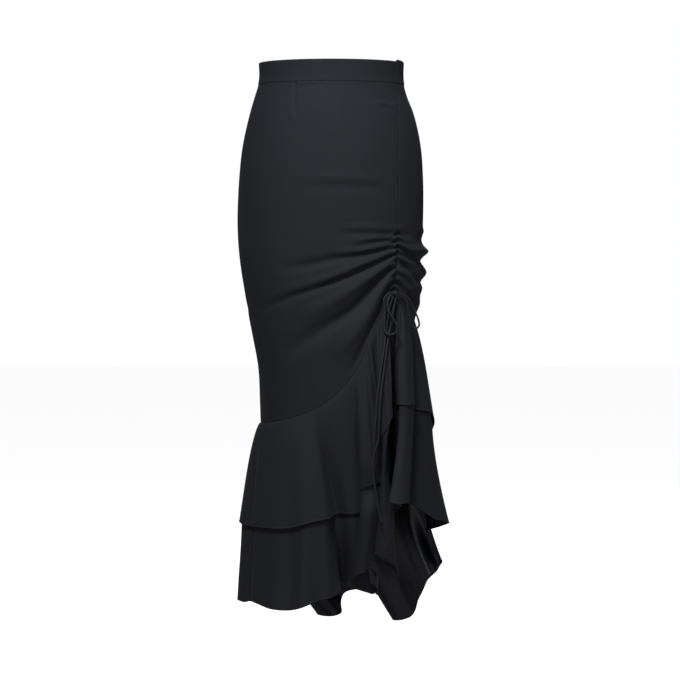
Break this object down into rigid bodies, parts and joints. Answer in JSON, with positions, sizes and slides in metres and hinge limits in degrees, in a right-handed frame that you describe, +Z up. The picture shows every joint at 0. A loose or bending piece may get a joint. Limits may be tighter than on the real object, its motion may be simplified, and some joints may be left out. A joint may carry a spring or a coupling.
{
  "type": "layered maxi skirt",
  "caption": "High-waisted fitted maxi skirt with tiered flounces, drawn up by a drawstring at the wearer's left front; the back hem hangs lower.",
  "frame": {"origin": "middle of the waist, on the wearer's axis, 15.5 mm below the waistband's upper edge; the wearer's waist holds the skirt up there", "axes": "+Z up along the wearer, +X to the wearer's left, the front faces -Y"},
  "size_m": [0.3836, 0.3481, 1.0411],
  "materials": {
    "crepe": "matt black satin-back crepe",
    "drawstring": "round tube of the same crepe",
    "zip_tape": "woven black tape with a nylon coil",
    "zip_metal": "black enamel"
  },
  "bodies": {
    "skirt": {"waistband_front": "crepe", "waistband_back_left": "crepe", "waistband_back_right": "crepe", "front_panel": "crepe", "side_front_panel": "crepe", "back_panel_left": "crepe", "back_panel_right": "crepe", "upper_flounce_front": "crepe", "upper_flounce_back": "crepe", "lower_flounce_front": "crepe", "lower_flounce_back": "crepe", "drawstring_casing": "crepe", "drawstring_knot": "drawstring", "drawstring_loop_left": "drawstring", "drawstring_loop_right": "drawstring", "drawstring_tail_long": "drawstring", "drawstring_tail_short": "drawstring", "zip_chain": "zip_tape", "zip_slider": "zip_metal"},
    "pull": {"zip_pull": "zip_metal"}
  },
  "joints": [
    {"name": "zip_pull_swing", "type": "hinge", "parent": "skirt", "child": "pull", "pos_m": [0, 0.09616, 0.01], "axis": [1, 0, 0], "range_deg": [0, 150]}
  ]
}
